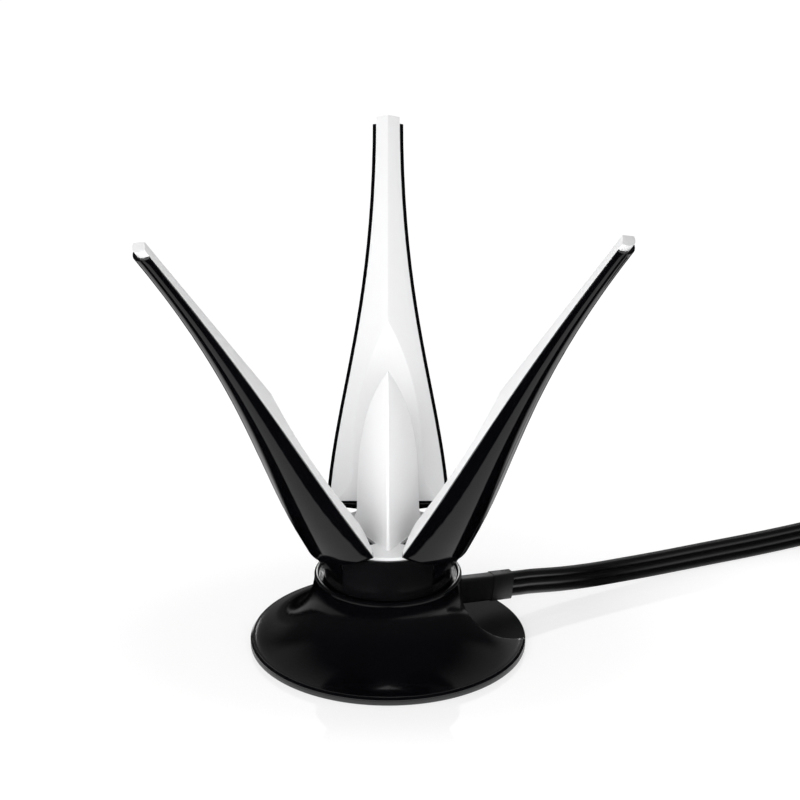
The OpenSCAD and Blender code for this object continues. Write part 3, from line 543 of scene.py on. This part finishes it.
def coil_path(cable):
    """Middle of the ribbon round its coil, with the directions of its start and its end."""

    def at(turn):
        hook = max(0.0, (turn - COIL_TURNS + HOOK_TURN) / HOOK_TURN)
        r = cable.coil_radius - cable.coil_pitch * turn - HOOK_IN * hook * hook
        a = COIL_START - 2 * math.pi * turn
        return COIL_CENTRE + Vector((r * math.cos(a), r * math.sin(a), 0))

    spiral = [at(i / COIL_RINGS) for i in range(COIL_RINGS * COIL_TURNS + 1)]
    lead_in = Vector((math.sin(COIL_START), -math.cos(COIL_START), 0))
    lead_out = (at(COIL_TURNS) - at(COIL_TURNS - OUT_STEP)).normalized()
    path = [spiral[0] - lead_in * END_RUN, *spiral, spiral[-1] + lead_out * END_RUN]
    return path, lead_in, lead_out


class ANTENNA_OT_ribbon(bpy.types.Operator):
    """Make the ribbon of three bonded cables, from the boot to the end of its coil"""

    bl_idname = "antenna.ribbon"
    bl_label = "Ribbon cable"

    def execute(self, context):
        cable, finish = context.scene.antenna_cable, context.scene.antenna_finish
        width = 3 * cable.coax
        coil, lead_in, _ = coil_path(cable)
        route = [BOOT_END + BOOT_WAY * width * k for k in (0, 0.5, 1)]
        route += [Vector(p) * MM for p in RIBBON_ROUTE]
        route += [coil[0] - lead_in * width * k for k in (2, 1, 0)]
        path = smooth_path(route, RIBBON_STEPS) + coil[1:]
        jacket = drawn_jacket(finish)
        made = swept_tube("ribbon_of_cables", path, ribbon_section(cable.coax / 2, cable.web),
                          jacket, "stand")
        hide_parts("ribbon_cable", "cable_coil")
        nylon = satin_black(finish, "tie_nylon", 0.35, 0.5)
        ties = dress("coil_ties", nylon, 0.15 * MM)
        return {"FINISHED"}


class ANTENNA_OT_tails(bpy.types.Operator):
    """Make the three single cables past the ribbon's end, with their connectors"""

    bl_idname = "antenna.tails"
    bl_label = "Cable tails and connectors"

    def execute(self, context):
        cable, finish = context.scene.antenna_cable, context.scene.antenna_finish
        coil, _, lead_out = coil_path(cable)
        left = Vector((-lead_out.y, lead_out.x, 0))
        jacket = bpy.data.materials["drawn_jacket"]
        shrink = satin_black(finish, "shrunk_sleeve", 0.38, 0.55)
        plated = turned_metal("plated_gold", finish.gold, 0.22, 0.34)
        nut_gold = turned_metal("turned_gold", shade(finish.gold, 0.96), 0.28, 0.4, 1500.0)
        ptfe = turned_ptfe()
        for i in range(3):
            n = i + 1
            start = coil[-1] + Vector((0, 0, (i - 1) * cable.coax))
            rise, fall = TAIL_CROSS - start.z, TAIL_REST - TAIL_CROSS
            end = start + lead_out * TAIL_REACH + left * ((i - 1) * TAIL_PITCH)
            end += Vector((0, 0, rise + fall))
            route = [start + lead_out * cable.coax * k for k in (0, 0.5, 1)]
            for along, across, climb, descent in TAIL_ROUTE:
                level = Vector((0, 0, climb[i] * rise + descent * fall))
                route.append(start + lead_out * along * MM + left * ((i - 1) * across * MM) + level)
            route += [end - lead_out * cable.coax * k for k in (1, 0.5, 0)]
            path = smooth_path(route, TAIL_STEPS)
            made = swept_tube(f"cable_tail_{n}", path, round_section(cable.coax / 2, TAIL_SIDES),
                              jacket, "stand")
            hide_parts(f"coax_tail_{n}")
            fittings = [
                dress(f"cable_sleeve_{n}", shrink, 0.2 * MM),
                dress(f"connector_body_{n}", plated, 0.12 * MM),
                dress(f"contact_insert_{n}", ptfe, 0.08 * MM),
                dress(f"coupling_nut_{n}", nut_gold, 0.2 * MM),
            ]
            for fitting in fittings:
                bpy.data.collections["cable_lit"].objects.link(fitting)
        return {"FINISHED"}


# Base, hub and blades


# Heights between which the spire's ridges turn sharp, and the least turn of a ridge in degrees
SPIRE_FADE, SPIRE_RIDGE = (42 * MM, 89.5 * MM), 100


class ANTENNA_OT_base(bpy.types.Operator):
    """Finish the base: cover, plate, foot pad, ballast and screws"""

    bl_idname = "antenna.base"
    bl_label = "Base"

    def execute(self, context):
        finish = context.scene.antenna_finish
        dress("base_cover", polished_black(finish, "base_black", 0.06), 0.12 * MM, 28)
        dress("base_plate", satin_black(finish, "plate_black", 0.45, 0.6), 0.15 * MM)
        dress("foot_pad", grained_rubber(finish, "pad_rubber", 1.4), 0.1 * MM)
        dress("ballast_weight", cast_zinc(), 0.2 * MM)
        steel = turned_metal("plain_steel", (0.55, 0.54, 0.52), 0.24, 0.4)
        for node in ("plate_screws", "hub_screws", "cap_screw"):
            dress(node, steel, 0.1 * MM)
        return {"FINISHED"}


class ANTENNA_OT_hub(bpy.types.Operator):
    """Finish the hub: drum, spire, hinge pins and friction washers"""

    bl_idname = "antenna.hub"
    bl_label = "Hub and spire"

    def execute(self, context):
        finish = context.scene.antenna_finish
        dress("hub_drum", satin_black(finish, "drum_black", 0.1, 0.16), 0.25 * MM)
        dress_fading("spire_cap", moulded_white(finish), 1.4 * MM, SPIRE_FADE, SPIRE_RIDGE)
        pin = turned_metal("ground_steel", (0.6, 0.59, 0.57), 0.15, 0.25)
        acetal = satin_black(finish, "acetal_black", 0.35, 0.5)
        for side in SIDES:
            dress(f"hinge_pin_{side}", pin, 0.1 * MM)
            dress(f"friction_washers_{side}", acetal, 0.05 * MM)
        return {"FINISHED"}


# The blades' directions and leans as built, and the hinge of a closed blade that faces along X
BLADE_AZIMUTH = {"back": math.radians(90), "left": math.radians(210), "right": math.radians(330)}
BLADE_TILT = {"back": math.radians(34.8), "left": math.radians(35.9), "right": math.radians(34.5)}
BLADE_HINGE = Vector((14.5, 0, 32.5)) * MM
SOLE_INNER, SOLE_OUTER, SOLE_BOTTOM, SOLE_TOP = 9.8 * MM, 20.9 * MM, 38.6 * MM, 39.65 * MM
SOLE_GAP, SOLE_STEPS = 0.6 * MM, 12


def blade_sole(side, material):
    """Thin black plate that closes the shell under the core's foot."""
    slope = math.tan(math.radians(60))
    reach = next(a for a in (math.radians(k / 10) for k in range(600, 0, -1))
                 if SOLE_OUTER * math.sin(a) <= (SOLE_OUTER * math.cos(a) - SOLE_GAP) * slope)
    half = (SOLE_INNER - SOLE_GAP) * slope
    rim = [reach * k / SOLE_STEPS for k in range(-SOLE_STEPS, SOLE_STEPS + 1)]
    plan = [(SOLE_INNER, -half)]
    plan += [(SOLE_OUTER * math.cos(a), SOLE_OUTER * math.sin(a)) for a in rim]
    plan += [(SOLE_INNER, half)]
    pose = (Matrix.Rotation(BLADE_AZIMUTH[side], 4, "Z") @ Matrix.Translation(BLADE_HINGE)
            @ Matrix.Rotation(BLADE_TILT[side], 4, "Y") @ Matrix.Translation(-BLADE_HINGE))
    count = len(plan)
    points = [pose @ Vector((x, y, z)) for z in (SOLE_BOTTOM, SOLE_TOP) for x, y in plan]
    faces = [tuple(range(count - 1, -1, -1)), tuple(range(count, 2 * count))]
    faces += [(k, (k + 1) % count, (k + 1) % count + count, k + count) for k in range(count)]
    made = piece(f"blade_sole_{side}", points, faces, material, f"blade_{side}")
    ease_edges(made, 0.2 * MM, 2)
    split_edges(made, CRISP_ANGLE)


class ANTENNA_OT_blades(bpy.types.Operator):
    """Finish the three blades: black shell, white core, black sole and the board inside"""

    bl_idname = "antenna.blades"
    bl_label = "Blades"

    def execute(self, context):
        gloss = polished_black(context.scene.antenna_finish)
        white = bpy.data.materials["moulded_white"]
        board = printed_board()
        for side in SIDES:
            dress(f"blade_shell_{side}", gloss, 0.15 * MM, 30)
            dress(f"blade_core_{side}", white, 0.7 * MM, 24, 4)
            dress(f"antenna_board_{side}", board, 0.05 * MM)
            blade_sole(side, gloss)
        return {"FINISHED"}


class ANTENNA_OT_boot(bpy.types.Operator):
    """Finish the rubber boot and the leads inside the base"""

    bl_idname = "antenna.boot"
    bl_label = "Cable boot"

    def execute(self, context):
        finish = context.scene.antenna_finish
        rubber = grained_rubber(finish, "boot_rubber", 0.4, (0.36, 0.5))
        boot = dress("cable_boot", rubber, 0.3 * MM)
        bpy.data.collections["cable_lit"].objects.link(boot)
        dress("inner_leads", grained_rubber(finish, "lead_jacket", 0.8))
        return {"FINISHED"}


# Stage


SENSOR_WIDTH = 36
FLOOR_REACH = 6.0
WHITE_PIECES = ("spire_cap", *(f"blade_core_{side}" for side in SIDES))
RIM_PIECES = tuple(n for n in sorted(NODES) if n not in ("base_plate", *WHITE_PIECES))
# Each lamp's size, place and aim, whether polished faces see it and the solids that it lights, where
# that isn't all; what scene-made cables and fittings need is added as they are made
LAMPS = {
    "key": ((0.5, 0.5), (-0.42, -0.95, 0.62), (0, 0, 0.07), False, None),
    "fill": ((0.36, 0.1), (-0.05, -0.28, 0.13), (0, 0.02, 0.06), False, None),
    "back": ((0.5, 0.5), (-0.5, 0.8, 0.7), (0, 0, 0.08), False, WHITE_PIECES),
    "cable": ((0.4, 0.4), (0.25, 0.35, 1.2), (0.1, 0.05, 0), True, ()),
    "rim": ((0.5, 0.12), (0.0, 1.1, 0.52), (0, 0, 0.03), True, RIM_PIECES),
}
# What polished faces see of the room: a glow behind, a fainter one above and a level that falls
# with height
BACK_GLOW, TOP_GLOW, ROOM_LEVEL = 0.55, 0.22, (0.05, 0.015)
# The room's even light, from low to high and from left to right
ROOM_RISE, ROOM_SLANT = (1.25, 0.6), (1.05, 0.88)
# Floor: its colour to the camera and to other light, and its polish round the base
FLOOR_GREY, FLOOR_PALE = (0.55, 0.55, 0.55, 1), (0.9, 0.9, 0.9, 1)
POLISH_GLOW, POLISH_ROUGHNESS, POLISH_WIDTH = 0.12, 0.04, 0.7
# What polished faces see of the floor besides the sheet: a glow close by and the floor at the coil
CLOSE_GLOW, OPEN_FLOOR = 1.6, 0.4


def lamp(name, power, size, place, aim, glossy):
    data = bpy.data.lights.new(name, "AREA")
    data.energy = power
    data.shape = "RECTANGLE"
    data.size, data.size_y = size
    made = bpy.data.objects.new(name, data)
    bpy.context.scene.collection.objects.link(made)
    made.location = place
    made.rotation_euler = (Vector(aim) - Vector(place)).to_track_quat("-Z", "Y").to_euler()
    made.visible_camera = False
    made.visible_glossy = glossy
    return made


class ANTENNA_OT_stage(bpy.types.Operator):
    """Set the camera, the lamps, the white room and the floor"""

    bl_idname = "antenna.stage"
    bl_label = "Studio"

    def execute(self, context):
        scene, studio = context.scene, context.scene.antenna_studio
        scene.view_settings.view_transform = "Standard"
        self.camera(scene, studio)
        for name, (size, place, aim, glossy, pieces) in LAMPS.items():
            made = lamp(f"{name}_lamp", getattr(studio, f"{name}_power"), size, place, aim, glossy)
            if pieces is not None:
                lit = bpy.data.collections.new(f"{name}_lit")
                made.light_linking.receiver_collection = lit
                for node in pieces:
                    lit.objects.link(NODES[node])
        self.room(scene, studio)
        self.floor(scene, studio)
        return {"FINISHED"}

    def camera(self, scene, studio):
        data = bpy.data.cameras.new("camera")
        data.sensor_width = SENSOR_WIDTH
        data.lens = studio.camera_lens
        data.shift_x = studio.camera_shift
        made = bpy.data.objects.new("camera", data)
        scene.collection.objects.link(made)
        made.location = (0, -studio.camera_back, studio.camera_height)
        made.rotation_euler = (math.pi / 2 - studio.camera_pitch, 0, 0)
        scene.camera = made

    def room(self, scene, studio):
        """White room with even light, of which polished faces see a glow behind the antenna."""
        world = bpy.data.worlds.new("white_room")
        world.use_nodes = True
        world.node_tree.nodes.clear()
        g = Graph(world.node_tree)
        rays = g.add("ShaderNodeLightPath").outputs
        way = g.add("ShaderNodeSeparateXYZ")
        g.join(g.add("ShaderNodeTexCoord").outputs["Generated"], way.inputs["Vector"])
        x, y, z = (way.outputs[axis] for axis in "XYZ")
        behind = g.product(g.step(y, 0.7, 0.92, 0, BACK_GLOW), g.step(z, 0.08, 0.2),
                           g.step(z, 0.5, 0.64, 1, 0), g.step(x, -0.3, 0.1, 0.2, 1))
        above = g.product(g.step(y, 0.1, 0.75, 0, TOP_GLOW), g.step(z, 0.45, 0.6))
        seen = g.add("ShaderNodeBackground")
        g.join(g.total(behind, above, g.step(z, 0.1, 0.7, *ROOM_LEVEL)), seen.inputs["Strength"])
        even = g.add("ShaderNodeBackground")
        rise = g.step(z, 0.1, 0.9, *(share * studio.room_light for share in ROOM_RISE))
        g.join(g.product(rise, g.step(x, -1, 1, *ROOM_SLANT)), even.inputs["Strength"])
        white = g.add("ShaderNodeBackground")
        light = g.mix(rays["Is Glossy Ray"], even.outputs["Background"], seen.outputs["Background"])
        direct = g.calculate("MAXIMUM", rays["Is Camera Ray"], rays["Is Transmission Ray"])
        g.join(g.mix(direct, light, white.outputs["Background"]),
               g.add("ShaderNodeOutputWorld").inputs["Surface"])
        scene.world = world

    def floor(self, scene, studio):
        """Pale floor that the camera sees as white, with a shadow and a reflection round the base.

        Polished faces see it as dark, with a white sheet under the base, a card behind it and a
        glow where they are close to it.
        """
        mesh = bpy.data.meshes.new("floor")
        corners = ((-1, -1), (1, -1), (1, 1), (-1, 1))
        mesh.from_pydata([(FLOOR_REACH * x, FLOOR_REACH * y, 0) for x, y in corners],
                         [], [(0, 1, 2, 3)])
        made = bpy.data.objects.new("floor", mesh)
        scene.collection.objects.link(made)
        material = bpy.data.materials.new("pale_floor")
        material.use_nodes = True
        material.node_tree.nodes.clear()
        g = Graph(material.node_tree)
        rays = g.add("ShaderNodeLightPath").outputs
        place = g.add("ShaderNodeSeparateXYZ")
        g.join(g.add("ShaderNodeTexCoord").outputs["Object"], place.inputs["Vector"])
        x, depth = place.outputs["X"], place.outputs["Y"]
        aside = g.calculate("ABSOLUTE", x)

        across = g.product(x, POLISH_WIDTH)
        away = g.calculate("SQRT", g.total(g.product(across, across), g.product(depth, depth)))
        polished = g.step(away, 0.046, 0.1, 1, 0)
        matt = g.add("ShaderNodeBsdfDiffuse", Color=FLOOR_GREY)
        glow = g.add("ShaderNodeEmission")
        g.join(g.step(polished, 0, 1, studio.floor_white, studio.floor_white + POLISH_GLOW),
               glow.inputs["Strength"])
        both = g.add("ShaderNodeAddShader")
        g.join(matt.outputs["BSDF"], both.inputs[0])
        g.join(glow.outputs["Emission"], both.inputs[1])
        polish = g.add("ShaderNodeBsdfGlossy", Roughness=POLISH_ROUGHNESS)
        shown = g.mix(g.product(polished, studio.floor_mirror),
                      both.outputs["Shader"], polish.outputs["BSDF"])

        def line(slant, start, blur, low=0.0, high=1.0):
            """A step across the floor on a line that slants back from the middle to both sides."""
            slanted = g.total(depth, g.product(aside, slant))
            return g.step(slanted, start, start + blur, low, high)

        facing = g.add("ShaderNodeLayerWeight", Blend=0.5).outputs["Facing"]
        sheet = g.product(line(0.38, -0.05, 0.004, 0, studio.sheet_white),
                          line(0.5, 0.016, 0.004, 1, 0), g.step(facing, 0.36, 0.48, 1, 0))
        card = g.product(line(0.625, 0.076, 0.03), g.step(depth, 0.1, 0.125, 1, 0),
                         g.step(aside, 0.044, 0.058), g.step(facing, 0.4, 0.55, 0.8, 0.3))
        close = g.product(g.step(rays["Ray Length"], 0.012, 0.02, CLOSE_GLOW, 0),
                          g.step(aside, 0.05, 0.07, 1, 0))
        mirrored = g.add("ShaderNodeEmission")
        g.join(g.total(sheet, card, close, g.step(x, 0.16, 0.2, 0, OPEN_FLOOR)),
               mirrored.inputs["Strength"])
        pale = g.add("ShaderNodeBsdfDiffuse", Color=FLOOR_PALE)
        unseen = g.mix(rays["Is Glossy Ray"], pale.outputs["BSDF"], mirrored.outputs["Emission"])
        g.join(g.mix(rays["Is Camera Ray"], unseen, shown),
               g.add("ShaderNodeOutputMaterial").inputs["Surface"])
        mesh.materials.append(material)


class ANTENNA_PT_panel(bpy.types.Panel):
    """Lists the antenna's pieces and the studio"""

    bl_idname = "ANTENNA_PT_panel"
    bl_label = "Antenna"
    bl_space_type = "VIEW_3D"
    bl_region_type = "UI"
    bl_category = "Antenna"

    def draw(self, context):
        for maker in MAKERS:
            self.layout.operator(maker.bl_idname)


MAKERS = (
    ANTENNA_OT_stage, ANTENNA_OT_ribbon, ANTENNA_OT_tails, ANTENNA_OT_base, ANTENNA_OT_hub,
    ANTENNA_OT_blades, ANTENNA_OT_boot,
)
SETTINGS = {
    "antenna_finish": AntennaFinish, "antenna_cable": AntennaCable, "antenna_studio": AntennaStudio,
}
CLASSES = (*SETTINGS.values(), *MAKERS, ANTENNA_PT_panel)


def register():
    for kind in CLASSES:
        bpy.utils.register_class(kind)
    for name, kind in SETTINGS.items():
        setattr(bpy.types.Scene, name, PointerProperty(type=kind))


def unregister():
    for name in SETTINGS:
        delattr(bpy.types.Scene, name)
    for kind in reversed(CLASSES):
        bpy.utils.unregister_class(kind)


def main():
    register()
    bpy.ops.antenna.stage()
    bpy.ops.antenna.ribbon()
    bpy.ops.antenna.tails()
    bpy.ops.antenna.base()
    bpy.ops.antenna.hub()
    bpy.ops.antenna.blades()
    bpy.ops.antenna.boot()
    bpy.context.view_layer.update()


if __name__ == "__main__":
    main()
